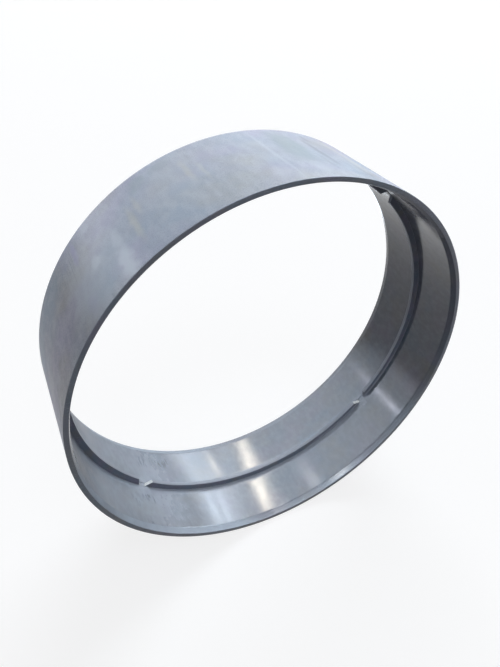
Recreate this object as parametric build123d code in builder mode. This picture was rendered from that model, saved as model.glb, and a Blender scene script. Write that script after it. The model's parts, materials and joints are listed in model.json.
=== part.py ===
"""Riser ring: a short sleeve of PVC pipe with a four-part stop cemented round the middle of its bore.

The ring stands on its outside, with its axis level along Y. The origin is on the line that it
stands on, halfway between its two ends, and +Z is up.
"""

import os
from math import asin, degrees, radians, tan

from build123d import *

os.makedirs("parts", exist_ok=True)

# Driving dimensions, in millimetres and degrees
pipe_diameter = 400.0  # outside of the two pipes that the ring joins
pipe_play = 1.0  # how much wider the bore is than the pipe
wall = 6.5
ring_length = 120.0
lead_in_depth = 6.5  # length of the tapered mouth at each end, along the axis
rim_width = 4.6  # flat that is left on each end face
rim_round = 0.6  # rounding of the outer edge of each end face

stop_width = 4.0  # size of a stop strip along the axis
stop_thickness = 7.0  # size of a stop strip across the bore
stop_gap = 8.0  # opening between two strips at their outer faces
stop_mitre = 38.0  # slant of a strip's ends away from a radial cut
stop_round = 0.5  # rounding of a strip's two long inner edges
seat_depth = 0.6  # shallow groove round the bore that locates the strips
seat_play = 0.5  # how much wider the seat is than a strip, on each side
cement_film = 0.1  # solvent cement between the seat and a strip

# Sizes that follow
bore_radius = (pipe_diameter + pipe_play) / 2
outer_radius = bore_radius + wall
mouth_radius = outer_radius - rim_width
half_length = ring_length / 2
seat_radius = bore_radius + seat_depth
seat_half_width = stop_width / 2 + seat_play
strip_outer_radius = seat_radius - cement_film
strip_inner_radius = strip_outer_radius - stop_thickness

# The ring's axis, a section plane through it (axial across, radial up) and a plane square to it
ring_axis = Axis((0, 0, outer_radius), (0, 1, 0))
section_plane = Plane(origin=(0, 0, outer_radius), x_dir=(0, 1, 0), z_dir=(1, 0, 0))
face_plane = Plane(origin=(0, 0, outer_radius), x_dir=(1, 0, 0), z_dir=(0, -1, 0))

# Ring body: the sleeve's wall turned round the axis, with a tapered mouth at both ends
with BuildPart() as ring_body:
    with BuildSketch(section_plane) as wall_section:
        with BuildLine():
            Polyline(
                (-half_length, outer_radius),
                (-half_length, mouth_radius),
                (-half_length + lead_in_depth, bore_radius),
                (-seat_half_width, bore_radius),
                (-seat_half_width, seat_radius),
                (seat_half_width, seat_radius),
                (seat_half_width, bore_radius),
                (half_length - lead_in_depth, bore_radius),
                (half_length, mouth_radius),
                (half_length, outer_radius),
                close=True,
            )
        make_face()
        outer_corners = wall_section.vertices().group_by(Axis.Y)[-1]
        fillet(outer_corners, radius=rim_round)
    revolve(axis=ring_axis)

ring_body.part.label = "ring_body"
export_step(ring_body.part, "parts/ring_body.step")

# Stop strips: four equal arcs on edge in the seat, with slanted ends that face one another
strip_names = ["stop_strip_right", "stop_strip_top", "stop_strip_left", "stop_strip_bottom"]
strip_pitch = 360 / len(strip_names)
outer_half_gap = stop_gap / 2
inner_half_gap = outer_half_gap + stop_thickness * tan(radians(stop_mitre))
outer_half_span = strip_pitch / 2 - degrees(asin(outer_half_gap / strip_outer_radius))
inner_half_span = strip_pitch / 2 - degrees(asin(inner_half_gap / strip_inner_radius))

for number, strip_name in enumerate(strip_names):
    middle = number * strip_pitch
    with BuildPart() as stop_strip:
        with BuildSketch(face_plane):
            with BuildLine():
                outer_arc = CenterArc(
                    (0, 0), strip_outer_radius, middle - outer_half_span, 2 * outer_half_span
                )
                inner_arc = CenterArc(
                    (0, 0), strip_inner_radius, middle - inner_half_span, 2 * inner_half_span
                )
                Line(outer_arc @ 0, inner_arc @ 0)
                Line(outer_arc @ 1, inner_arc @ 1)
            make_face()
        extrude(amount=stop_width / 2, both=True)
        arc_edges = stop_strip.edges().filter_by(GeomType.CIRCLE)
        fillet(arc_edges.group_by(SortBy.RADIUS)[0], radius=stop_round)

    stop_strip.part.label = strip_name
    export_step(stop_strip.part, f"parts/{strip_name}.step")
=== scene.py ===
import json
from math import asin, cos, pi, radians, sin, tan

import bpy
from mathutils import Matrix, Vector


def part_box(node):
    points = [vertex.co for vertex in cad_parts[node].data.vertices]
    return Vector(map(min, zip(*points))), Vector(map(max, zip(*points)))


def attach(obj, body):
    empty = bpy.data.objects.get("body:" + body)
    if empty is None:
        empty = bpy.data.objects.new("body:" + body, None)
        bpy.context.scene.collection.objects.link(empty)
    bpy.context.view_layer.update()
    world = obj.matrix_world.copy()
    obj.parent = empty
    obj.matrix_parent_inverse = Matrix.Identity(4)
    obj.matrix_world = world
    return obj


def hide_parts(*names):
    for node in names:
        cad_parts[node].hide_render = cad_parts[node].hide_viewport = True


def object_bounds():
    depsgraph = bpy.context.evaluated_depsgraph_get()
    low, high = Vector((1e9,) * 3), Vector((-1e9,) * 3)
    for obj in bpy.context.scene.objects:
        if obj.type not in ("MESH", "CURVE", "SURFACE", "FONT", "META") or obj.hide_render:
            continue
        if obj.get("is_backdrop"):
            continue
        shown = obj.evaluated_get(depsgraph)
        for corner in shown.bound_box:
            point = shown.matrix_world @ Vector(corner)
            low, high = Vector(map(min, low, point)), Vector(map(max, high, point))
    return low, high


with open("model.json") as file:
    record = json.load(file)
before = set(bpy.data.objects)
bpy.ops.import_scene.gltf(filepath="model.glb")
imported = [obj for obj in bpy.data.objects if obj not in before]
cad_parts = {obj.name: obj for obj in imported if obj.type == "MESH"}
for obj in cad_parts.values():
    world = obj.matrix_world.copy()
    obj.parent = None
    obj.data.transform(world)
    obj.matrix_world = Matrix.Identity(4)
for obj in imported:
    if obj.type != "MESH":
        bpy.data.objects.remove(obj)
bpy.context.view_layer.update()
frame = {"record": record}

# Ring body
# A short length of extruded grey PVC pipe, sawn off square at both ends. Each mouth is turned to a
# shallow taper inside, so that a pipe finds its way in, and a shallow groove at mid length takes the stop.
mm = 0.001
mounts = {mount["name"]: mount for mount in frame["record"]["mounts"]}
socket = mounts["socket_back"]
socket_middle = socket["pos_m"][1]
socket_half_length = socket["dims"]["length_mm"] * mm / 2
_, body_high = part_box("ring_body")
strip_low, strip_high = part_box("stop_strip_bottom")

outer_radius = body_high.z / 2
axis_height = outer_radius
half_length = body_high.y
bore_radius = socket["dims"]["r_mm"] * mm
lead_in_depth = half_length - socket_middle - socket_half_length
rim_width = 4.6 * mm
mouth_radius = outer_radius - rim_width
rim_middle = outer_radius - rim_width / 2
cement_film = 0.1 * mm
seat_radius = axis_height - strip_low.z + cement_film
seat_half_width = socket_middle - socket_half_length

rim_round = 0.6 * mm
mouth_round = 0.35 * mm
lead_in_round = 4 * mm
seat_round = 0.08 * mm
seam_tolerance = 0.001 * mm
turn_steps = 480
corner_steps = 5

# Reliefs of the finishes, from the bottom of a mark to its top
outside_relief = 0.035 * mm
bore_relief = 0.007 * mm
tool_ring_relief = 0.004 * mm
saw_relief = 0.02 * mm
edge_wear_width = 0.7 * mm
# How far from the front mouth the outside is painted lighter: painted light
painted_front_light_width = 40 * mm

pvc_grey = (0.125, 0.132, 0.154, 1)
pvc_cool = (0.104, 0.128, 0.16, 1)
pvc_lilac = (0.142, 0.132, 0.172, 1)
pvc_warm = (0.145, 0.14, 0.138, 1)
# Pale of rubbed wear, also laid as painted light and painted sheen
rubbed_pale_and_painted_light = (0.4, 0.42, 0.46, 1)
rubbed_warm = (0.34, 0.31, 0.22, 1)
# Pale blue of haze, also laid as a painted reflection
hazed_blue_and_painted_reflection = (0.325, 0.37, 0.42, 1)
stained_green = (0.05, 0.072, 0.07, 1)
primer_lilac = (0.17, 0.15, 0.27, 1)
# Dark of dirt, also laid as painted shade
dirt_dark_and_painted_shade = (0.03, 0.032, 0.038, 1)
pvc_ior = 1.4
chalked_specular = 0.27


def add_node(tree, kind, inputs=None, **settings):
    """Adds a node with its settings. An input given as a socket is linked, any other is set."""
    node = tree.nodes.new(kind)
    for name, value in settings.items():
        setattr(node, name, value)
    for key, value in (inputs or {}).items():
        if isinstance(value, bpy.types.NodeSocket):
            tree.links.new(value, node.inputs[key])
        else:
            node.inputs[key].default_value = value
    return node


def result_of(tree, kind, inputs=None, **settings):
    """The first output of a new node."""
    return add_node(tree, kind, inputs, **settings).outputs[0]


def shape_step(tree, kind, inputs=None, **settings):
    """The result of a new geometry node."""
    return result_of(tree, f"GeometryNode{kind}", inputs, **settings)


def calculate(tree, operation, *values):
    """The result of one Math node."""
    return result_of(tree, "ShaderNodeMath", dict(enumerate(values)), operation=operation)


def calculate_vector(tree, operation, first, second):
    return result_of(tree, "ShaderNodeVectorMath", {0: first, 1: second}, operation=operation)


def scale_vector(tree, vector, factor):
    return result_of(tree, "ShaderNodeVectorMath", {0: vector, "Scale": factor}, operation="SCALE")


def combine(tree, x, y, z):
    return result_of(tree, "ShaderNodeCombineXYZ", {0: x, 1: y, 2: z})


def separate(tree, vector):
    return add_node(tree, "ShaderNodeSeparateXYZ", {0: vector}).outputs


def noise_in(tree, place, scale, detail):
    """The outputs of a noise texture. Fac is its level, and Color is three levels that differ."""
    return add_node(tree, "ShaderNodeTexNoise", {"Vector": place, "Scale": scale, "Detail": detail}).outputs


def between(tree, value, start, end, smooth=False):
    """0 where the value is at the start or before it, 1 at the end or past it."""
    inputs = {"Value": value, "From Min": start, "From Max": end}
    kind = "SMOOTHSTEP" if smooth else "LINEAR"
    return result_of(tree, "ShaderNodeMapRange", inputs, interpolation_type=kind)


def blend_colours(tree, share, first, second):
    """The first colour where the share is 0, and the second where it is 1."""
    return add_node(tree, "ShaderNodeMix", {0: share, 6: first, 7: second}, data_type="RGBA").outputs[2]


def new_shape_tree(name, sizes):
    """A Geometry Nodes tree with one named input for each size, and the inputs' identifiers by name."""
    tree = bpy.data.node_groups.new(name, "GeometryNodeTree")
    tree.interface.new_socket("Geometry", in_out="INPUT", socket_type="NodeSocketGeometry")
    identifiers = {}
    for size_name, kind in sizes.items():
        made = tree.interface.new_socket(size_name, in_out="INPUT", socket_type=f"NodeSocket{kind}")
        identifiers[size_name] = made.identifier
    tree.interface.new_socket("Geometry", in_out="OUTPUT", socket_type="NodeSocketGeometry")
    return tree, tree.nodes.new("NodeGroupInput").outputs, identifiers


def around_axis(tree, radius, angle, along, height):
    """The point at that radius and angle round the ring's axis, and that far along it."""
    x = calculate(tree, "MULTIPLY", radius, calculate(tree, "COSINE", angle))
    z = calculate(tree, "MULTIPLY", radius, calculate(tree, "SINE", angle))
    return combine(tree, x, along, calculate(tree, "ADD", z, height))


def from_axis(tree, place, height):
    """The distance of a place from the ring's axis."""
    part = separate(tree, place)
    rise = calculate(tree, "SUBTRACT", part["Z"], height)
    square = calculate(tree, "MULTIPLY_ADD", rise, rise, calculate(tree, "MULTIPLY", part["X"], part["X"]))
    return calculate(tree, "SQRT", square)


def new_source(name, data):
    source = bpy.data.objects.new(name, data)
    bpy.context.scene.collection.objects.link(source)
    return source


def shape_with(source, tree, identifiers, values):
    """Gives an object the tree as a modifier, with the named inputs set."""
    shaping = source.modifiers.new(tree.name, "NODES")
    shaping.node_group = tree
    for size_name, value in values.items():
        shaping[identifiers[size_name]] = value


def finished_mesh(source, name):
    """The evaluated shape of a source object as a plain mesh object. The source goes."""
    evaluated = source.evaluated_get(bpy.context.evaluated_depsgraph_get())
    mesh = bpy.data.meshes.new_from_object(evaluated)
    mesh.name = name
    bpy.data.objects.remove(source)
    return new_source(name, mesh)


def new_effect(name, inputs, outputs):
    """A shader node group with named sockets: its tree, its inputs by name and its outputs by name."""
    effect = bpy.data.node_groups.new(name, "ShaderNodeTree")
    for socket_name, (kind, value) in inputs.items():
        made = effect.interface.new_socket(socket_name, in_out="INPUT", socket_type=f"NodeSocket{kind}")
        made.default_value = value
    for socket_name, kind in outputs.items():
        effect.interface.new_socket(socket_name, in_out="OUTPUT", socket_type=f"NodeSocket{kind}")
    return effect, effect.nodes.new("NodeGroupInput").outputs, effect.nodes.new("NodeGroupOutput").inputs


def use_effect(tree, effect, **values):
    """The outputs of an effect placed in a material. A value's name is its socket's, with _ for a space."""
    inputs = {name.replace("_", " ").title(): value for name, value in values.items()}
    return add_node(tree, "ShaderNodeGroup", inputs, node_tree=effect).outputs


# Cloudy or streaky noise: the stretch says how many waves there are to a metre along each axis
streaks, given, made = new_effect(
    "streaks",
    {
        "Place": ("Vector", (0, 0, 0)),
        "Stretch": ("Vector", (1, 1, 1)),
        "Detail": ("Float", 2),
        "Low": ("Float", 0.3),
        "High": ("Float", 0.7),
    },
    {"Mask": "Float"},
)
stretched = calculate_vector(streaks, "MULTIPLY", given["Place"], given["Stretch"])
waves = noise_in(streaks, stretched, 1, given["Detail"])["Fac"]
streaks.links.new(between(streaks, waves, given["Low"], given["High"]), made["Mask"])

# A soft ragged mark on the wall, at an angle round the axis in degrees and a place along it in metres.
# It is full out to its core, which is a share of its half width and half length
wall_mark, given, made = new_effect(
    "wall_mark",
    {
        "Place": ("Vector", (0, 0, 0)),
        "Axis Height": ("Float", axis_height),
        "Wall Radius": ("Float", bore_radius),
        "Angle": ("Float", 0),
        "Along": ("Float", 0),
        "Half Width": ("Float", 5 * mm),
        "Half Length": ("Float", 5 * mm),
        "Ragged": ("Float", 2 * mm),
        "Ragged Scale": ("Float", 120),
        "Core": ("Float", 0.1),
    },
    {"Mask": "Float"},
)
middle = combine(wall_mark, 0, 0, given["Axis Height"])
turned_back = result_of(
    wall_mark,
    "ShaderNodeVectorRotate",
    {
        "Vector": calculate_vector(wall_mark, "SUBTRACT", given["Place"], middle),
        "Angle": calculate(wall_mark, "RADIANS", given["Angle"]),
    },
    rotation_type="Y_AXIS",
)
part = separate(wall_mark, turned_back)
arc_angle = calculate(wall_mark, "ARCTAN2", part["Z"], part["X"])
arc = calculate(wall_mark, "MULTIPLY", arc_angle, given["Wall Radius"])
along = calculate(wall_mark, "SUBTRACT", part["Y"], given["Along"])
shift = separate(wall_mark, noise_in(wall_mark, given["Place"], given["Ragged Scale"], 3)["Color"])
ragged_reach = calculate(wall_mark, "MULTIPLY", given["Ragged"], 2)
square = 0.0
for offset, level, half_size in (
    (arc, shift["X"], given["Half Width"]),
    (along, shift["Y"], given["Half Length"]),
):
    uneven = calculate(wall_mark, "SUBTRACT", level, 0.5)
    offset = calculate(wall_mark, "MULTIPLY_ADD", uneven, ragged_reach, offset)
    share = calculate(wall_mark, "DIVIDE", offset, half_size)
    square = calculate(wall_mark, "MULTIPLY_ADD", share, share, square)
off_centre = calculate(wall_mark, "SQRT", square)
wall_mark.links.new(between(wall_mark, off_centre, 1.0, given["Core"], True), made["Mask"])

# Fine scratches in two slants, in patches
scratches, given, made = new_effect(
    "scratches",
    {"Place": ("Vector", (0, 0, 0)), "Scale": ("Float", 300), "Low": ("Float", 0.64)},
    {"Mask": "Float"},
)
scratch_stretch = (1, 0.008, 1)
scratch_edge = 0.06
layers = []
for slant in ((0.5, 0.2, 0.9), (-0.7, 0.4, -0.4)):
    slanted = result_of(scratches, "ShaderNodeMapping", {"Vector": given["Place"], "Rotation": slant})
    long_lines = calculate_vector(scratches, "MULTIPLY", slanted, scratch_stretch)
    waves = noise_in(scratches, long_lines, given["Scale"], 1)["Fac"]
    high = calculate(scratches, "ADD", given["Low"], scratch_edge)
    layers.append(between(scratches, waves, given["Low"], high))
patches = between(scratches, noise_in(scratches, given["Place"], 22, 2)["Fac"], 0.45, 0.6)
both = calculate(scratches, "MAXIMUM", *layers)
scratches.links.new(calculate(scratches, "MULTIPLY", both, patches), made["Mask"])

# The plastic's own colour: grey with faint cool, lilac and warm clouds and a fine pigment grain
pvc_colour, given, made = new_effect(
    "pvc_colour",
    {
        "Place": ("Vector", (0, 0, 0)),
        "Grey": ("Color", pvc_grey),
        "Cool": ("Color", pvc_cool),
        "Lilac": ("Color", pvc_lilac),
        "Warm": ("Color", pvc_warm),
        "Clouds": ("Float", 24),
    },
    {"Color": "Color", "Grain": "Float"},
)
cloud = separate(pvc_colour, noise_in(pvc_colour, given["Place"], given["Clouds"], 3)["Color"])
tints = {"X": ("Cool", 0.4, 0.65), "Y": ("Lilac", 0.45, 0.7), "Z": ("Warm", 0.5, 0.75)}
tinted = given["Grey"]
for axis, (tint, start, end) in tints.items():
    tinted = blend_colours(pvc_colour, between(pvc_colour, cloud[axis], start, end), tinted, given[tint])
grain = noise_in(pvc_colour, given["Place"], 2600, 2)["Fac"]
grain_level = calculate(pvc_colour, "MULTIPLY_ADD", grain, 0.3, 0.85)
pvc_colour.links.new(scale_vector(pvc_colour, tinted, grain_level), made["Color"])
pvc_colour.links.new(grain, made["Grain"])

# Dust that has settled on the lower part of the wall, with painted light laid in the same place. It thins
# out upwards and towards the right
settled_dust_and_painted_light, given, made = new_effect(
    "settled_dust_and_painted_light",
    {
        "Place": ("Vector", (0, 0, 0)),
        "Top": ("Float", 230 * mm),
        "Full": ("Float", 90 * mm),
        "Right End": ("Float", 165 * mm),
        "Right Full": ("Float", 110 * mm),
    },
    {"Mask": "Float"},
)
part = separate(settled_dust_and_painted_light, given["Place"])
low_down = between(settled_dust_and_painted_light, part["Z"], given["Top"], given["Full"], True)
off_right = between(settled_dust_and_painted_light, part["X"], given["Right End"], given["Right Full"], True)
settled_dust_and_painted_light.links.new(calculate(settled_dust_and_painted_light, "MULTIPLY", low_down, off_right), made["Mask"])


def new_pvc(name):
    """A PVC material: the material, its tree, its shader and the place that its patterns read."""
    material = bpy.data.materials.new(name)
    material.use_nodes = True
    tree = material.node_tree
    shader = tree.nodes["Principled BSDF"]
    shader.inputs["IOR"].default_value = pvc_ior
    return material, tree, shader, add_node(tree, "ShaderNodeTexCoord").outputs["Object"]


def streaks_in(tree, place, stretch, detail, **limits):
    return use_effect(tree, streaks, place=place, stretch=stretch, detail=detail, **limits)["Mask"]


def scratches_in(tree, place, scale):
    return use_effect(tree, scratches, place=place, scale=scale)["Mask"]


def wall_marks(tree, place, marks, ragged_share=0.6, core=0.1):
    """The strongest of several wall marks. Each has an angle, a place along, a half width, a half length
    and a strength, with the lengths in millimetres."""
    strongest = 0.0
    for angle, along, half_width, reach, strength in marks:
        mask = use_effect(
            tree,
            wall_mark,
            place=place,
            angle=angle,
            along=along * mm,
            half_width=half_width * mm,
            half_length=reach * mm,
            ragged=ragged_share * half_width * mm,
            core=core,
        )["Mask"]
        strongest = calculate(tree, "MAXIMUM", calculate(tree, "MULTIPLY", mask, strength), strongest)
    return strongest


def lay_stains(tree, colour, *stains):
    """The colour with stains laid over it in turn. Each has a mask, a strength and its own colour."""
    for mask, strength, stain_colour in stains:
        colour = blend_colours(tree, calculate(tree, "MULTIPLY", mask, strength), colour, stain_colour)
    return colour


def add_up(tree, level, *layers):
    """The level with masks added to it, each by its own amount."""
    for mask, amount in layers:
        level = calculate(tree, "MULTIPLY_ADD", mask, amount, level)
    return level


def finish_surface(tree, shader, colour, roughness, height, relief):
    """Links a finish to its shader. The relief is how deep it is where the height goes from 0 to 1."""
    normal = result_of(tree, "ShaderNodeBump", {"Height": height, "Distance": relief, "Strength": 1.0})
    tree.links.new(colour, shader.inputs["Base Color"])
    tree.links.new(roughness, shader.inputs["Roughness"])
    tree.links.new(normal, shader.inputs["Normal"])


# Outside of the wall: satin and a little chalked, with die lines along it, and stained in handling. Painted
# light pales it towards the front mouth and in broad patches, painted sheen lies in pale streaks along it,
# and painted shade darkens a broad patch low on the left
outside_finish, tree, shader, place = new_pvc("extruded_outside")
shader.inputs["Specular IOR Level"].default_value = chalked_specular
plastic = use_effect(
    tree,
    pvc_colour,
    place=place,
    grey=(0.128, 0.131, 0.166, 1),
    cool=(0.092, 0.128, 0.176, 1),
    lilac=(0.156, 0.13, 0.204, 1),
    warm=(0.165, 0.152, 0.13, 1),
    clouds=15,
)
die_lines = streaks_in(tree, place, (150, 2, 150), 3)
broad_lines = streaks_in(tree, place, (34, 3, 34), 2)
hair_lines = streaks_in(tree, place, (900, 9, 900), 2, low=0.5, high=0.75)
clouding = streaks_in(tree, place, (26, 18, 26), 6)
mottling = streaks_in(tree, place, (130, 60, 130), 6, low=0.42, high=0.62)
speckle = streaks_in(tree, place, (1300, 800, 1300), 2, low=0.45, high=0.7)
rubs = scratches_in(tree, place, 260)
# Pale marks: partly pale rubs, partly painted sheen in the narrow streaks and painted light in the broad
# patches
pale_rubs_painted_sheen_and_light = wall_marks(
    tree,
    place,
    [
        (129.2, -42, 10, 34, 0.75),
        (129, -8, 7, 24, 0.35),
        (136, -4, 8, 15, 0.7),
        (90, -38, 9, 14, 0.18),
        (79.5, -38, 13, 18, 0.2),
        (95, 3.5, 28, 1.2, 0.2),
        (141, -24, 36, 76, 0.34),
        (113, -4, 50, 100, 0.17),
    ],
    ragged_share=0.45,
    core=0.25,
)
warm_marks = wall_marks(
    tree,
    place,
    [
        (123.5, -8, 5, 40, 0.36),
        (121, 14, 4, 24, 0.26),
        (107, 16, 4, 30, 0.34),
        (104, 4, 3, 26, 0.24),
        (65, 8, 10, 70, 0.3),
    ],
)
# Pale lines along the wall: partly chalk, partly painted sheen, above all the long line near the top
chalk_and_painted_sheen_lines = wall_marks(
    tree,
    place,
    [(86.8, 2, 2.6, 74, 0.26), (134.8, 51, 7, 10, 0.3), (137, -9, 5, 8, 0.3)],
    ragged_share=0.5,
    core=0.3,
)
primer_marks = wall_marks(tree, place, [(140.4, 36, 5, 26, 0.6), (141, -40, 9, 20, 0.3)], core=0.3)
green_marks = wall_marks(
    tree,
    place,
    [(80, 14, 20, 60, 0.68), (118, 42, 14, 18, 0.5), (112, 46, 16, 12, 0.4)],
    ragged_share=0.35,
    core=0.3,
)
# Dark marks along the wall; the broad patch low on the left, at 174 degrees, is painted shade
dark_marks_and_painted_shade = wall_marks(
    tree,
    place,
    [
        (139.5, 44, 5, 14, 0.3),
        (73.3, 6, 4.5, 58, 0.7),
        (71.5, 40, 6, 18, 0.6),
        (75.5, -22, 3, 28, 0.4),
        (58, 0, 18, 100, 0.55),
        (174, 0, 85, 120, 0.4),
    ],
)
wavy_line = wall_marks(tree, place, [(73.3, 2, 4.5, 62, 1.0)])
lined_patch = wall_marks(tree, place, [(143, 24, 18, 34, 1.0)])
dark_lines = streaks_in(tree, place, (700, 16, 700), 2, low=0.55, high=0.62)
dark_lines = calculate(tree, "MULTIPLY", dark_lines, lined_patch)
# Painted light: the outside is paler towards the front mouth
painted_front_light = between(tree, separate(tree, place)["Y"], painted_front_light_width - half_length, -half_length, True)
colour = lay_stains(
    tree,
    plastic["Color"],
    (clouding, 0.22, rubbed_pale_and_painted_light),
    (mottling, 0.2, rubbed_pale_and_painted_light),
    (painted_front_light, 0.1, rubbed_pale_and_painted_light),
    (hair_lines, 0.05, rubbed_pale_and_painted_light),
    (rubs, 0.05, rubbed_pale_and_painted_light),
    (speckle, 0.45, dirt_dark_and_painted_shade),
    (green_marks, 1.0, stained_green),
    (dark_marks_and_painted_shade, 1.0, dirt_dark_and_painted_shade),
    (dark_lines, 0.5, dirt_dark_and_painted_shade),
    (warm_marks, 1.0, rubbed_warm),
    (primer_marks, 1.0, primer_lilac),
    (pale_rubs_painted_sheen_and_light, 1.0, rubbed_pale_and_painted_light),
    (chalk_and_painted_sheen_lines, 1.0, rubbed_pale_and_painted_light),
)
roughness = add_up(tree, 0.3, (clouding, 0.12), (plastic["Grain"], 0.06), (rubs, 0.08))
height = add_up(tree, broad_lines, (die_lines, 0.22), (hair_lines, 0.012), (wavy_line, -2.4))
finish_surface(tree, shader, colour, roughness, height, outside_relief)

# Bore: the glossy side, hazed low down on the left, with smears and scuffs beside the gaps of the stop. The
# haze's pale blue is partly a painted reflection, and painted light pales the wall at the foot of the stop
# low down. A dull patch lies at the far left and another at the upper right, both darkened with painted
# shade
bore_finish, tree, shader, place = new_pvc("extruded_bore")
plastic = use_effect(tree, pvc_colour, place=place)
die_lines = streaks_in(tree, place, (120, 3, 120), 2)
clouding = streaks_in(tree, place, (45, 45, 45), 4, low=0.4, high=0.75)
mottling = streaks_in(tree, place, (170, 110, 170), 5, low=0.4, high=0.7)
flecks = streaks_in(tree, place, (430, 75, 430), 3, low=0.47, high=0.55)
rubs = scratches_in(tree, place, 420)
scuffed = wall_marks(
    tree,
    place,
    [
        (237, 38, 18, 16, 1.0),
        (229, 36, 14, 14, 0.6),
        (221, -24, 16, 12, 0.4),
        (226, -18, 14, 10, 0.8),
        (235, -32, 20, 14, 0.5),
    ],
)
scuff_flecks = calculate(tree, "MULTIPLY", flecks, scuffed)
smeared = wall_marks(
    tree,
    place,
    [
        (226, 3, 7, 13, 0.5),
        (225.3, -5, 3, 3, 0.5),
        (315, -7, 5, 5, 0.4),
        (43, 9, 9, 16, 0.08),
        (135, 0, 7, 12, 0.4),
    ],
)
warm_marks = wall_marks(tree, place, [(36, -34, 16, 14, 0.14), (42, 12, 10, 14, 0.12)])
# Haze low on the left: a pale blue stain, partly painted reflection
haze_and_painted_reflection = wall_marks(tree, place, [(214, 0, 115, 140, 0.5)], ragged_share=0.06, core=0.3)
haze_and_painted_reflection = calculate(tree, "MULTIPLY", haze_and_painted_reflection, add_up(tree, 0.8, (mottling, 0.4)))
# Dull patches: rougher, and darkened with painted shade
dull_patches_and_painted_shade = wall_marks(tree, place, [(190, 0, 60, 110, 0.6), (46, 5, 26, 60, 0.8)], ragged_share=0.1, core=0.3)
# Painted light: the wall is paler close in front of and behind the stop, low on the left
dust_and_painted_light_share = use_effect(tree, settled_dust_and_painted_light, place=place, top=150 * mm, full=60 * mm)["Mask"]
from_stop = calculate(tree, "ABSOLUTE", separate(tree, place)["Y"])
foot_smear_and_painted_light = calculate(tree, "MULTIPLY", between(tree, from_stop, 11 * mm, 3 * mm, True), dust_and_painted_light_share)
colour = lay_stains(
    tree,
    plastic["Color"],
    (mottling, 0.1, rubbed_pale_and_painted_light),
    (haze_and_painted_reflection, 1.0, hazed_blue_and_painted_reflection),
    (dull_patches_and_painted_shade, 1.0, dirt_dark_and_painted_shade),
    (foot_smear_and_painted_light, 0.45, rubbed_pale_and_painted_light),
    (scuff_flecks, 0.9, dirt_dark_and_painted_shade),
    (rubs, 0.02, rubbed_pale_and_painted_light),
    (warm_marks, 1.0, rubbed_warm),
    (smeared, 1.0, rubbed_pale_and_painted_light),
)
roughness = add_up(
    tree,
    0.1,
    (clouding, 0.05),
    (mottling, 0.05),
    (scuff_flecks, 0.5),
    (haze_and_painted_reflection, 0.5),
    (dull_patches_and_painted_shade, 0.3),
    (foot_smear_and_painted_light, 0.5),
    (scuffed, 0.06),
    (smeared, 0.5),
    (rubs, 0.03),
)
finish_surface(tree, shader, colour, roughness, add_up(tree, die_lines, (scuff_flecks, -0.8)), bore_relief)

# Lead-in: turned with a blunt tool, so fine rings run round it. Dust and a painted reflection pale it low
# down on the left, and a dull patch darkened with painted shade lies on it at the upper right
lead_in_finish, tree, shader, place = new_pvc("turned_lead_in")
plastic = use_effect(tree, pvc_colour, place=place)
round_place = combine(tree, separate(tree, place)["Y"], from_axis(tree, place, axis_height), 0)
tool_rings = streaks_in(tree, round_place, (2600, 1400, 1), 2)
clouding = streaks_in(tree, place, (60, 60, 60), 3)
rubs = scratches_in(tree, place, 500)
dust_and_painted_light_share = use_effect(tree, settled_dust_and_painted_light, place=place, right_end=0, right_full=-70 * mm)["Mask"]
# Pale blue low on the left: dust and a painted reflection
dust_and_painted_reflection = calculate(tree, "MULTIPLY", add_up(tree, 0.42, (clouding, 0.36)), dust_and_painted_light_share)
# Dull patch at the upper right, darkened with painted shade
dull_patches_and_painted_shade = wall_marks(tree, place, [(55, -57, 80, 30, 0.9)], ragged_share=0.1, core=0.5)
colour = lay_stains(
    tree,
    plastic["Color"],
    (dust_and_painted_reflection, 1.0, hazed_blue_and_painted_reflection),
    (tool_rings, 0.1, rubbed_pale_and_painted_light),
    (rubs, 0.12, rubbed_pale_and_painted_light),
    (dull_patches_and_painted_shade, 0.6, dirt_dark_and_painted_shade),
)
roughness = add_up(tree, 0.17, (clouding, 0.06), (dust_and_painted_light_share, 0.28), (dull_patches_and_painted_shade, 0.35), (tool_rings, 0.06))
finish_surface(tree, shader, colour, roughness, tool_rings, tool_ring_relief)

# Sawn ends: dull, with close saw marks that cross the rim and edges rubbed pale
sawn_finish, tree, shader, place = new_pvc("sawn_end")
plastic = use_effect(tree, pvc_colour, place=place)
saw_marks = streaks_in(tree, place, (60, 60, 1500), 3)
rubs = scratches_in(tree, place, 700)
off_middle = calculate(tree, "SUBTRACT", from_axis(tree, place, axis_height), rim_middle)
off_middle = calculate(tree, "ABSOLUTE", off_middle)
rim_edges = between(tree, off_middle, rim_width / 2 - edge_wear_width, rim_width / 2, True)
colour = lay_stains(
    tree,
    plastic["Color"],
    (rubs, 0.2, rubbed_pale_and_painted_light),
    (saw_marks, 0.06, rubbed_pale_and_painted_light),
    (rim_edges, 0.12, rubbed_pale_and_painted_light),
)
finish_surface(tree, shader, colour, add_up(tree, 0.36, (saw_marks, 0.14)), saw_marks, saw_relief)

# The wall's section as radius and place along the axis, with the rounding of each corner
half_section = [
    (seat_radius, seat_half_width, seat_round),
    (bore_radius, seat_half_width, seat_round),
    (bore_radius, half_length - lead_in_depth, lead_in_round),
    (mouth_radius, half_length, mouth_round),
    (outer_radius, half_length, rim_round),
]
mirrored_half = [(radius, -along, rounding) for radius, along, rounding in reversed(half_section)]
corners = half_section + mirrored_half

# A point near each end of a straight run keeps the shading of the run flat
run_margin = 1.6 * mm
section_points = []
for corner, following in zip(corners, corners[1:] + corners[:1]):
    section_points.append(corner)
    start = Vector(corner[:2])
    run = Vector(following[:2]) - start
    if run.length > 4 * run_margin:
        for reach in (run_margin, run.length - run_margin):
            section_points.append((*(start + run * (reach / run.length)), 0))

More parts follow.
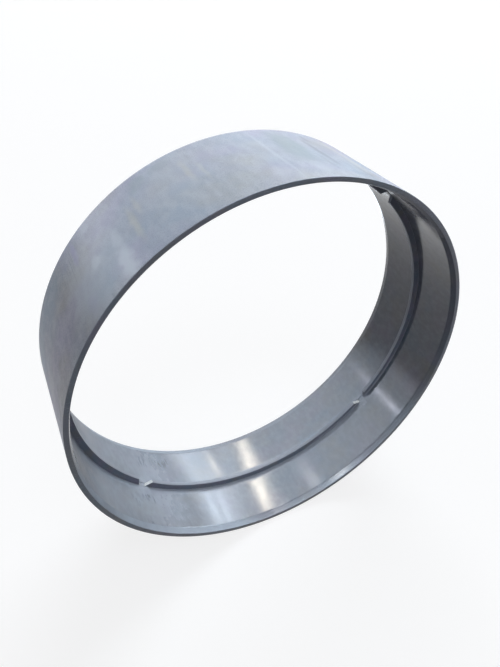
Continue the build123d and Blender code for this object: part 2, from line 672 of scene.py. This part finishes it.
section = bpy.data.curves.new("wall_section", "CURVE")
section.dimensions = "3D"
spline = section.splines.new("POLY")
spline.points.add(len(section_points) - 1)
spline.use_cyclic_u = True
for point, (radius, along, rounding) in zip(spline.points, section_points):
    point.co = (radius, along, 0, 1)
    point.radius = rounding

# The sleeve: a grid whose rows are the points of the rounded section, turned round the axis
ring_sizes = {
    "Axis Height": "Float",
    "Turn Steps": "Int",
    "Corner Steps": "Int",
    "Bore Limit": "Float",
    "Lead In Start": "Float",
    "Rim Start": "Float",
    "Outside Finish": "Material",
    "Bore Finish": "Material",
    "Lead In Finish": "Material",
    "Sawn Finish": "Material",
}
tree, size, identifiers = new_shape_tree("turned_sleeve", ring_sizes)
rounding_inputs = {
    "Curve": size["Geometry"],
    "Radius": shape_step(tree, "InputRadius"),
    "Count": size["Corner Steps"],
    "Limit Radius": True,
}
rounded = shape_step(tree, "FilletCurve", rounding_inputs, mode="POLY")
domain = add_node(tree, "GeometryNodeAttributeDomainSize", {0: rounded}, component="CURVE")
rounded_count = domain.outputs["Point Count"]
grid_inputs = {
    "Size X": 1.0,
    "Size Y": 1.0,
    "Vertices X": calculate(tree, "ADD", size["Turn Steps"], 1),
    "Vertices Y": calculate(tree, "ADD", rounded_count, 1),
}
sheet = shape_step(tree, "MeshGrid", grid_inputs)
grid_place = separate(tree, shape_step(tree, "InputPosition"))
turn = calculate(tree, "MULTIPLY", calculate(tree, "ADD", grid_place["X"], 0.5), 2 * pi)
row = calculate(tree, "MULTIPLY", calculate(tree, "ADD", grid_place["Y"], 0.5), rounded_count)
sampling_inputs = {
    "Geometry": rounded,
    "Value": shape_step(tree, "InputPosition"),
    "Index": calculate(tree, "MODULO", calculate(tree, "ROUND", row), rounded_count),
}
across = separate(tree, shape_step(tree, "SampleIndex", sampling_inputs, data_type="FLOAT_VECTOR"))
turned_place = around_axis(tree, across["X"], turn, across["Y"], size["Axis Height"])
turned = shape_step(tree, "SetPosition", {"Geometry": sheet, "Position": turned_place})
closed = shape_step(tree, "MergeByDistance", {"Geometry": turned, "Distance": seam_tolerance})
smooth = shape_step(tree, "SetShadeSmooth", {0: closed})
surface = shape_step(tree, "RealizeInstances", {0: smooth})
face_place = shape_step(tree, "InputPosition")
from_middle = calculate(tree, "ABSOLUTE", separate(tree, face_place)["Y"])
in_bore = calculate(tree, "LESS_THAN", from_axis(tree, face_place, size["Axis Height"]), size["Bore Limit"])
in_mouth = calculate(tree, "GREATER_THAN", from_middle, size["Lead In Start"])
finishes = {
    "Outside Finish": True,
    "Bore Finish": in_bore,
    "Lead In Finish": calculate(tree, "MULTIPLY", in_bore, in_mouth),
    "Sawn Finish": calculate(tree, "GREATER_THAN", from_middle, size["Rim Start"]),
}
for finish_name, chosen in finishes.items():
    inputs = {"Geometry": surface, "Selection": chosen, "Material": size[finish_name]}
    surface = shape_step(tree, "SetMaterial", inputs)
add_node(tree, "NodeGroupOutput", {0: surface})

ring_values = {
    "Axis Height": axis_height,
    "Turn Steps": turn_steps,
    "Corner Steps": corner_steps,
    "Bore Limit": rim_middle,
    "Lead In Start": half_length - lead_in_depth,
    "Rim Start": half_length - mouth_round,
    "Outside Finish": outside_finish,
    "Bore Finish": bore_finish,
    "Lead In Finish": lead_in_finish,
    "Sawn Finish": sawn_finish,
}
ring_source = new_source("ring_source", section)
shape_with(ring_source, tree, identifiers, ring_values)
ring = finished_mesh(ring_source, "riser_sleeve")
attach(ring, "root")
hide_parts("ring_body")

# Stop strips
# Four narrow arcs sawn from pipe wall, set on edge in the groove and held by solvent cement. Together they
# are the stop that both pipes meet. Their ends are mitred by hand and stay a little apart.
strip_width = strip_high.y - strip_low.y
strip_thickness = 7.0 * mm
strip_outer_radius = axis_height - strip_low.z
strip_inner_radius = strip_outer_radius - strip_thickness
strip_gap = 8.0 * mm
strip_mitre = radians(38)
strip_edge_round = 0.45 * mm
strip_edge_steps = 3
strip_edge_angle = radians(30)
strip_steps = 120
strip_rows = 5
strip_layers = 7
saw_depth = 0.3 * mm
cut_relief = 0.05 * mm
cement_relief = 0.06 * mm
strip_names = ["stop_strip_right", "stop_strip_top", "stop_strip_left", "stop_strip_bottom"]
freshly_cut = "stop_strip_bottom"
strip_pitch = 2 * pi / len(strip_names)

strip_grey = (0.12, 0.128, 0.155, 1)
cut_white = (0.85, 0.85, 0.8, 1)
cement_grey = (0.14, 0.147, 0.165, 1)

# Long faces: dull, with fine marks of the saw along the strip and edges rubbed pale. At the lower right the
# foot is paler, with a cement smear and painted light
strip_finish, tree, shader, place = new_pvc("sawn_strip")
shader.inputs["Specular IOR Level"].default_value = chalked_specular
plastic = use_effect(tree, pvc_colour, place=place, grey=strip_grey, clouds=60)
part = separate(tree, place)
radius_here = from_axis(tree, place, axis_height)
round_place = combine(tree, part["Y"], radius_here, 0)
saw_marks = streaks_in(tree, round_place, (1500, 2200, 1), 3)
rubs = scratches_in(tree, place, 800)
edge_wear = between(tree, radius_here, strip_inner_radius + edge_wear_width, strip_inner_radius, True)
# Painted light and cement smear: paler at the foot, low on the right
at_foot = between(tree, radius_here, strip_outer_radius - 5 * mm, strip_outer_radius - 1 * mm, True)
low_down = between(tree, part["Z"], 150 * mm, 90 * mm, True)
on_right = between(tree, part["X"], 40 * mm, 110 * mm, True)
foot_smear_and_painted_light = calculate(tree, "MULTIPLY", at_foot, calculate(tree, "MULTIPLY", low_down, on_right))
colour = lay_stains(
    tree,
    plastic["Color"],
    (saw_marks, 0.06, rubbed_pale_and_painted_light),
    (rubs, 0.16, rubbed_pale_and_painted_light),
    (edge_wear, 0.5, rubbed_pale_and_painted_light),
    (foot_smear_and_painted_light, 0.5, rubbed_pale_and_painted_light),
)
finish_surface(tree, shader, colour, add_up(tree, 0.36, (saw_marks, 0.16)), saw_marks, saw_relief)

# Fresh cuts at the ends of the bottom strip, and the crumbs that the saw tore off: whitened
cut_finish, tree, shader, place = new_pvc("hand_sawn_end")
saw_marks = streaks_in(tree, place, (300, 2600, 900), 3)
clouding = streaks_in(tree, place, (500, 500, 500), 3)
colour = lay_stains(tree, cut_white, (clouding, 0.5, strip_grey), (saw_marks, 0.25, strip_grey))
finish_surface(tree, shader, colour, add_up(tree, 0.4, (clouding, 0.2)), saw_marks, cut_relief)

# Set cement: a little paler than the pipe, and lumpy
cement_finish, tree, shader, place = new_pvc("set_cement")
plastic = use_effect(tree, pvc_colour, place=place, grey=cement_grey, clouds=200)
lumps = streaks_in(tree, place, (900, 900, 900), 3)
colour = lay_stains(tree, plastic["Color"], (lumps, 0.2, rubbed_pale_and_painted_light))
finish_surface(tree, shader, colour, add_up(tree, 0.22, (lumps, 0.25)), lumps, cement_relief)

# One strip: a straight bar bent round the axis, with its ends slanted and roughened by the saw. The change
# from strip to strip keeps their rough ends from being alike
saw_waves_across = 9
saw_waves_up = 4
saw_wave_scale = 1.7
saw_change = 3

strip_sizes = {
    "Middle Angle": "Float",
    "Half Pitch": "Float",
    "Outer Radius": "Float",
    "Thickness": "Float",
    "Width": "Float",
    "Half Gap": "Float",
    "Mitre Slope": "Float",
    "Axis Height": "Float",
    "Saw Depth": "Float",
    "Strip Steps": "Int",
    "Strip Finish": "Material",
    "Cut Finish": "Material",
}
tree, size, arc_identifiers = new_shape_tree("stop_strip_arc", strip_sizes)
arc_tree = tree
bar_inputs = {"Vertices X": size["Strip Steps"], "Vertices Y": strip_rows, "Vertices Z": strip_layers}
bar = shape_step(tree, "MeshCube", bar_inputs)
bar_place = separate(tree, shape_step(tree, "InputPosition"))
share = calculate(tree, "MULTIPLY", bar_place["X"], 2)
at_end = calculate(tree, "GREATER_THAN", calculate(tree, "ABSOLUTE", share), 0.999)
for finish_name, chosen in {"Strip Finish": True, "Cut Finish": at_end}.items():
    inputs = {"Geometry": bar, "Selection": chosen, "Material": size[finish_name]}
    bar = shape_step(tree, "SetMaterial", inputs)
depth = calculate(tree, "MULTIPLY", calculate(tree, "SUBTRACT", 0.5, bar_place["Z"]), size["Thickness"])
radius = calculate(tree, "SUBTRACT", size["Outer Radius"], depth)
half_gap = calculate(tree, "MULTIPLY_ADD", depth, size["Mitre Slope"], size["Half Gap"])
gap_angle = calculate(tree, "ARCSINE", calculate(tree, "DIVIDE", half_gap, radius))
half_span = calculate(tree, "SUBTRACT", size["Half Pitch"], gap_angle)
saw_place = combine(
    tree,
    calculate(tree, "MULTIPLY", bar_place["Y"], saw_waves_across),
    calculate(tree, "MULTIPLY", bar_place["Z"], saw_waves_up),
    calculate(tree, "MULTIPLY_ADD", size["Middle Angle"], saw_change, bar_place["X"]),
)
saw_shift = calculate(tree, "SUBTRACT", noise_in(tree, saw_place, saw_wave_scale, 3)["Fac"], 0.5)
saw_shift = calculate(tree, "MULTIPLY", saw_shift, calculate(tree, "DIVIDE", size["Saw Depth"], radius))
angle = calculate(tree, "MULTIPLY_ADD", share, half_span, size["Middle Angle"])
angle = calculate(tree, "MULTIPLY_ADD", saw_shift, at_end, angle)
along = calculate(tree, "MULTIPLY", bar_place["Y"], size["Width"])
bent_place = around_axis(tree, radius, angle, along, size["Axis Height"])
bent = shape_step(tree, "SetPosition", {"Geometry": bar, "Position": bent_place})
smooth = shape_step(tree, "SetShadeSmooth", {0: bent})
add_node(tree, "NodeGroupOutput", {0: shape_step(tree, "RealizeInstances", {0: smooth})})

# What the work left at one strip: the cement pressed out in the groove on both sides of it, thicker at
# the ends, and torn crumbs stuck in it at the foot of the mitres
bead_thickness = 0.33 * mm
bead_unevenness = 0.2 * mm
bead_radius = bore_radius + 0.12 * mm
bead_offset = (strip_width / 2 + seat_half_width) / 2
bead_half_span = strip_pitch / 2 - asin(strip_gap / 2 / bore_radius)
bead_steps = 150
bead_sides = 8
bead_swell = 0.6
bead_swell_start = 0.985
crumb_size = 0.42 * mm
crumb_spread = 1.1 * mm
crumb_radius = bore_radius - 0.2 * mm
crumb_counts = {
    "stop_strip_right": 0,
    "stop_strip_top": 0,
    "stop_strip_left": 4,
    "stop_strip_bottom": 9,
}

leaving_sizes = {
    "Middle Angle": "Float",
    "Half Span": "Float",
    "Bead Radius": "Float",
    "Bead Offset": "Float",
    "Bead Thickness": "Float",
    "Bead Unevenness": "Float",
    "Bead Steps": "Int",
    "Bead Sides": "Int",
    "Crumbs Per End": "Int",
    "Crumb Size": "Float",
    "Crumb Spread": "Float",
    "Crumb Radius": "Float",
    "Strip Width": "Float",
    "Axis Height": "Float",
    "Seed": "Int",
    "Cement Finish": "Material",
    "Cut Finish": "Material",
}
tree, size, leaving_identifiers = new_shape_tree("cement_and_crumbs", leaving_sizes)
leaving_tree = tree
line = shape_step(tree, "CurvePrimitiveLine")
line = shape_step(tree, "ResampleCurve", {"Curve": line, "Count": size["Bead Steps"]})
way_along = shape_step(tree, "SplineParameter")
end_to_end = calculate(tree, "MULTIPLY_ADD", way_along, 2, -1)
bead_angle = calculate(tree, "MULTIPLY_ADD", end_to_end, size["Half Span"], size["Middle Angle"])
bead_place = around_axis(tree, size["Bead Radius"], bead_angle, 0, size["Axis Height"])
line = shape_step(tree, "SetPosition", {"Geometry": line, "Position": bead_place})
side_inputs = {
    "Count": 2,
    "Start Location": combine(tree, 0, calculate(tree, "MULTIPLY", size["Bead Offset"], -1), 0),
    "Offset": combine(tree, 0, calculate(tree, "MULTIPLY", size["Bead Offset"], 2), 0),
}
sides = shape_step(tree, "MeshLine", side_inputs)
lines = shape_step(tree, "InstanceOnPoints", {"Points": sides, "Instance": line})
lines = shape_step(tree, "RealizeInstances", {0: lines})
bead_noise = noise_in(tree, shape_step(tree, "InputPosition"), 160, 3)["Fac"]
uneven = calculate(tree, "SUBTRACT", bead_noise, 0.5)
thickness = calculate(tree, "MULTIPLY_ADD", uneven, size["Bead Unevenness"], size["Bead Thickness"])
at_ends = between(tree, calculate(tree, "ABSOLUTE", end_to_end), bead_swell_start, 1.0)
thickness = calculate(tree, "MULTIPLY", thickness, calculate(tree, "MULTIPLY_ADD", at_ends, bead_swell, 1))
lines = shape_step(tree, "SetCurveRadius", {"Curve": lines, "Radius": thickness})
profile = shape_step(tree, "CurvePrimitiveCircle", {"Resolution": size["Bead Sides"], "Radius": 1.0})
bead_inputs = {
    "Curve": lines,
    "Profile Curve": profile,
    "Scale": shape_step(tree, "InputRadius"),
    "Fill Caps": True,
}
beads = shape_step(tree, "CurveToMesh", bead_inputs)
beads = shape_step(tree, "SetShadeSmooth", {0: beads})
beads = shape_step(tree, "SetMaterial", {"Geometry": beads, "Material": size["Cement Finish"]})


def chance(tree, low, high, seed, draw, kind="FLOAT"):
    """A random value for each point, between two limits. Each draw is its own number."""
    low_key, high_key, out_key = {"FLOAT": (2, 3, 1), "FLOAT_VECTOR": (0, 1, 0)}[kind]
    inputs = {low_key: low, high_key: high, "Seed": calculate(tree, "ADD", seed, draw)}
    return add_node(tree, "FunctionNodeRandomValue", inputs, data_type=kind).outputs[out_key]


crumb_total = calculate(tree, "MULTIPLY", size["Crumbs Per End"], 2)
spots = shape_step(tree, "MeshLine", {"Count": crumb_total})
spot = shape_step(tree, "InputIndex")
end_number = calculate(tree, "FLOOR", calculate(tree, "DIVIDE", spot, size["Crumbs Per End"]))
end_side = calculate(tree, "MULTIPLY_ADD", end_number, 2, -1)
scatter = calculate(tree, "DIVIDE", size["Crumb Spread"], size["Crumb Radius"])
scatter = calculate(tree, "MULTIPLY", scatter, chance(tree, -0.2, 1.0, size["Seed"], 0))
crumb_angle = calculate(tree, "ADD", size["Half Span"], scatter)
crumb_angle = calculate(tree, "MULTIPLY_ADD", crumb_angle, end_side, size["Middle Angle"])
crumb_along = calculate(tree, "MULTIPLY", chance(tree, -0.62, 0.62, size["Seed"], 1), size["Strip Width"])
spot_place = around_axis(tree, size["Crumb Radius"], crumb_angle, crumb_along, size["Axis Height"])
spots = shape_step(tree, "SetPosition", {"Geometry": spots, "Position": spot_place})
crumb = shape_step(tree, "MeshIcoSphere", {"Radius": 1.0, "Subdivisions": 2})
crumb_place = shape_step(tree, "InputPosition")
torn = calculate(tree, "MULTIPLY_ADD", noise_in(tree, crumb_place, 1.1, 2)["Fac"], 1.4, 0.3)
torn_place = scale_vector(tree, crumb_place, torn)
crumb = shape_step(tree, "SetPosition", {"Geometry": crumb, "Position": torn_place})
crumb_shape = chance(tree, (0.5, 0.5, 0.5), (1.2, 2.0, 1.2), size["Seed"], 2, "FLOAT_VECTOR")
full_turn = (2 * pi, 2 * pi, 2 * pi)
crumb_inputs = {
    "Points": spots,
    "Instance": crumb,
    "Rotation": chance(tree, (0, 0, 0), full_turn, size["Seed"], 3, "FLOAT_VECTOR"),
    "Scale": scale_vector(tree, crumb_shape, size["Crumb Size"]),
}
crumbs = shape_step(tree, "InstanceOnPoints", crumb_inputs)
crumbs = shape_step(tree, "RealizeInstances", {0: crumbs})
crumbs = shape_step(tree, "SetMaterial", {"Geometry": crumbs, "Material": size["Cut Finish"]})
joined = add_node(tree, "GeometryNodeJoinGeometry")
for shape in (crumbs, beads, size["Geometry"]):
    tree.links.new(shape, joined.inputs[0])
add_node(tree, "NodeGroupOutput", {0: joined.outputs[0]})

for number, strip_name in enumerate(strip_names):
    strip_values = {
        "Middle Angle": number * strip_pitch,
        "Half Pitch": strip_pitch / 2,
        "Outer Radius": strip_outer_radius,
        "Thickness": strip_thickness,
        "Width": strip_width,
        "Half Gap": strip_gap / 2,
        "Mitre Slope": tan(strip_mitre),
        "Axis Height": axis_height,
        "Saw Depth": saw_depth,
        "Strip Steps": strip_steps,
        "Strip Finish": strip_finish,
        "Cut Finish": cut_finish if strip_name == freshly_cut else strip_finish,
    }
    leaving_values = {
        "Middle Angle": number * strip_pitch,
        "Half Span": bead_half_span,
        "Bead Radius": bead_radius,
        "Bead Offset": bead_offset,
        "Bead Thickness": bead_thickness,
        "Bead Unevenness": bead_unevenness,
        "Bead Steps": bead_steps,
        "Bead Sides": bead_sides,
        "Crumbs Per End": crumb_counts[strip_name],
        "Crumb Size": crumb_size,
        "Crumb Spread": crumb_spread,
        "Crumb Radius": crumb_radius,
        "Strip Width": strip_width,
        "Axis Height": axis_height,
        "Seed": 10 * number,
        "Cement Finish": cement_finish,
        "Cut Finish": cut_finish,
    }
    strip_source = new_source("strip_source", bpy.data.meshes.new("strip_source"))
    shape_with(strip_source, arc_tree, arc_identifiers, strip_values)
    easing = strip_source.modifiers.new("eased_edges", "BEVEL")
    easing.width = strip_edge_round
    easing.segments = strip_edge_steps
    easing.limit_method = "ANGLE"
    easing.angle_limit = strip_edge_angle
    easing.harden_normals = True
    shape_with(strip_source, leaving_tree, leaving_identifiers, leaving_values)
    strip = finished_mesh(strip_source, strip_name.replace("stop_strip", "stop"))
    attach(strip, "root")
    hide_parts(strip_name)

# Floor
# A plain white studio floor, wide enough to fill the view. What the camera and the reflections see of it
# is mostly its own white, and the rest is lit, so that the ring's soft shadow stays on it.
floor_reach = 12.0
floor_own_white = 0.8
floor_lit_share = 0.25

floor_mesh = bpy.data.meshes.new("studio_floor")
floor_corners = [(-floor_reach, -floor_reach, 0), (floor_reach, -floor_reach, 0)]
floor_corners += [(floor_reach, floor_reach, 0), (-floor_reach, floor_reach, 0)]
floor_mesh.from_pydata(floor_corners, [], [(0, 1, 2, 3)])
floor = new_source("studio_floor", floor_mesh)


def seen_directly(tree):
    """1 for the rays that show the white room: those of the camera, of gloss and through glass."""
    path = add_node(tree, "ShaderNodeLightPath").outputs
    seen = calculate(tree, "ADD", path["Is Camera Ray"], path["Is Glossy Ray"])
    return calculate(tree, "MINIMUM", calculate(tree, "ADD", seen, path["Is Transmission Ray"]), 1.0)


floor_finish = bpy.data.materials.new("white_floor")
floor_finish.use_nodes = True
tree = floor_finish.node_tree
shader = tree.nodes["Principled BSDF"]
shader.inputs["Base Color"].default_value = (floor_lit_share, floor_lit_share, floor_lit_share, 1)
shader.inputs["Roughness"].default_value = 1.0
shader.inputs["Specular IOR Level"].default_value = 0.0
shader.inputs["Emission Color"].default_value = (1, 1, 1, 1)
own_white = calculate(tree, "MULTIPLY", seen_directly(tree), floor_own_white)
tree.links.new(own_white, shader.inputs["Emission Strength"])
floor_mesh.materials.append(floor_finish)
floor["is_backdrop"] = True

# Light
# A white studio with a wide luminous ceiling that is brightest overhead, two key lights and soft boxes.
# The ceiling and the boxes show in the gloss alone, and the key lights and the room light the colours.
room_light = 0.22
key_lights = {
    "back_key": (38, 46, 50, 30, 7.2, (0.94, 1.0, 1.08), 0.3),
    "front_key": (180, 58, 50, 30, 1.9, (0.9, 0.98, 1.14), 0.3),
}
ceiling_height = 4.0
ceiling_size = 88.0
ceiling_brightness = 6.2
ceiling_falloff = 0.075
box_distance = 10.0
low_card_distance = 0.534
ring_middle = Vector((0, 0, axis_height))
cool = (0.87, 1.0, 1.15)
neutral = (1.0, 1.0, 1.0)
warm = (1.1, 1.0, 0.82)
lilac = (0.92, 0.95, 1.13)

# Each box has the direction of its middle and its width and height as seen from the ring, in degrees, then
# its brightness against the room's, its colour and the share of its width that fades out at each edge. The
# last one stands on the floor close behind the ring, so its distance follows
soft_boxes = {
    "right_box": (49, 31, 20, 28, 6.0, cool, 0.35),
    "right_lower_bar": (52.5, 27.5, 8, 4, 7.5, cool, 0.3),
    "right_upper_bar": (50.3, 32.8, 9, 3.0, 9.0, cool, 0.3),
    "back_low_box": (47.5, 19, 7, 18, 3.6, cool, 0.35),
    "back_bar": (43.2, 35.6, 3.5, 4.0, 12.0, warm, 0.3),
    "between_box": (37.5, 42, 14, 8, 3.2, cool, 0.35),
    "streak_box": (31, 49.6, 18, 6.5, 37.0, warm, 0.45),
    "hook_box": (42, 60, 14, 8, 40.0, neutral, 0.3),
    "edge_box": (65, 33, 9, 60, 23.0, cool, 0.3),
    "middle_bar": (-8, 60, 8, 4, 12.0, neutral, 0.3),
    "left_box": (-57.2, 18.6, 11.5, 4.0, 13.0, lilac, 0.35),
    "left_low_box": (-58.5, 5, 10, 14, 2.0, lilac, 0.4),
    "left_outside_box": (-30, 11.5, 22, 28, 5.2, cool, 0.35),
    "zenith_box": (0, 88, 60, 44, 6.4, cool, 0.4),
    "mouth_right_box": (95, 71.5, 9, 7, 45.0, neutral, 0.3),
    "mouth_left_box": (-100, 64, 24, 24, 7.0, cool, 0.3),
    "mouth_left_bar": (-101, 70.5, 6, 5, 80.0, neutral, 0.25),
    "side_box": (104, 32, 40, 60, 9.0, cool, 0.25),
    "low_card": (46.5, -13, 31, 18, 3.0, cool, 0.3, low_card_distance),
}

world = bpy.data.worlds.new("studio")
bpy.context.scene.world = world
world.use_nodes = True
tree = world.node_tree
room = tree.nodes["Background"]
room.inputs["Color"].default_value = (1, 1, 1, 1)
tree.links.new(calculate(tree, "MAXIMUM", seen_directly(tree), room_light), room.inputs["Strength"])


def new_lamp(name, toward, distance, width, height, brightness, colour):
    """A rectangular lamp that faces the ring's middle, and the tree that shapes its light."""
    lamp = bpy.data.lights.new(name, "AREA")
    lamp.shape = "RECTANGLE"
    lamp.size = width
    lamp.size_y = height
    lamp.energy = brightness * pi * width * height
    lamp.color = colour
    lamp.use_nodes = True
    box = new_source(name, lamp)
    box.location = ring_middle + toward * distance
    box.rotation_euler = (-toward).to_track_quat("-Z", "Y").to_euler()
    return box, lamp.node_tree


def place_across(tree):
    """Where a point is on its lamp, from 0 to 1 across and along it."""
    return separate(tree, add_node(tree, "ShaderNodeNewGeometry").outputs["Parametric"])


def new_soft_box(name, azimuth, elevation, width, height, brightness, colour, fade, distance=box_distance):
    """A soft box in a direction from the ring, with faded edges."""
    level = cos(radians(elevation))
    toward = Vector((level * sin(radians(azimuth)), level * cos(radians(azimuth)), sin(radians(elevation))))
    full_width = 2 * distance * tan(radians(width / 2))
    full_height = 2 * distance * tan(radians(height / 2))
    box, tree = new_lamp(name, toward, distance, full_width, full_height, brightness, colour)
    across = place_across(tree)
    softened = 1.0
    for way in ("X", "Y"):
        from_edge = calculate(tree, "MINIMUM", across[way], calculate(tree, "SUBTRACT", 1.0, across[way]))
        softened = calculate(tree, "MULTIPLY", between(tree, from_edge, 0.0, fade, True), softened)
    tree.links.new(softened, tree.nodes["Emission"].inputs["Strength"])
    return box


for box_name, box_values in soft_boxes.items():
    new_soft_box(box_name, *box_values).visible_diffuse = False
for key_name, key_values in key_lights.items():
    new_soft_box(key_name, *key_values).visible_glossy = False

overhead = Vector((0, 0, 1))
ceiling, tree = new_lamp(
    "ceiling", overhead, ceiling_height, ceiling_size, ceiling_size, ceiling_brightness, cool
)
ceiling.visible_diffuse = False
across = place_across(tree)
square = 0.0
for way in ("X", "Y"):
    out = calculate(tree, "SUBTRACT", across[way], 0.5)
    out = calculate(tree, "MULTIPLY", out, ceiling_size / ceiling_height)
    square = calculate(tree, "MULTIPLY_ADD", out, out, square)
dimming = calculate(tree, "MULTIPLY_ADD", square, ceiling_falloff, 1.0)
tree.links.new(calculate(tree, "DIVIDE", 1.0, dimming), tree.nodes["Emission"].inputs["Strength"])

# Camera
# A hand-held view from above the mouth, a little to its left and about half a metre away. Its place, turn
# and lens were fitted to the photo. The lens axis meets the photo off its middle, which the shift takes up.
camera_place = (-0.2049, -0.4096, 0.5960)
camera_tilt = radians(56.99)
camera_turn = radians(-26.22)
photo_width, photo_height = 500, 667
axis_pixel = (257.4, 270.1)
focal_pixels = 577.6

camera_data = bpy.data.cameras.new("camera")
camera_data.sensor_width = 36
camera_data.lens = focal_pixels / photo_height * camera_data.sensor_width
camera_data.shift_x = (photo_width / 2 - axis_pixel[0]) / photo_height
camera_data.shift_y = (axis_pixel[1] - photo_height / 2) / photo_height
camera_data.clip_start = 0.01
camera = new_source("camera", camera_data)
camera.location = camera_place
camera.rotation_euler = (camera_tilt, 0, camera_turn)
bpy.context.scene.camera = camera
bpy.context.scene.view_settings.view_transform = "Standard"

low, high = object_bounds()
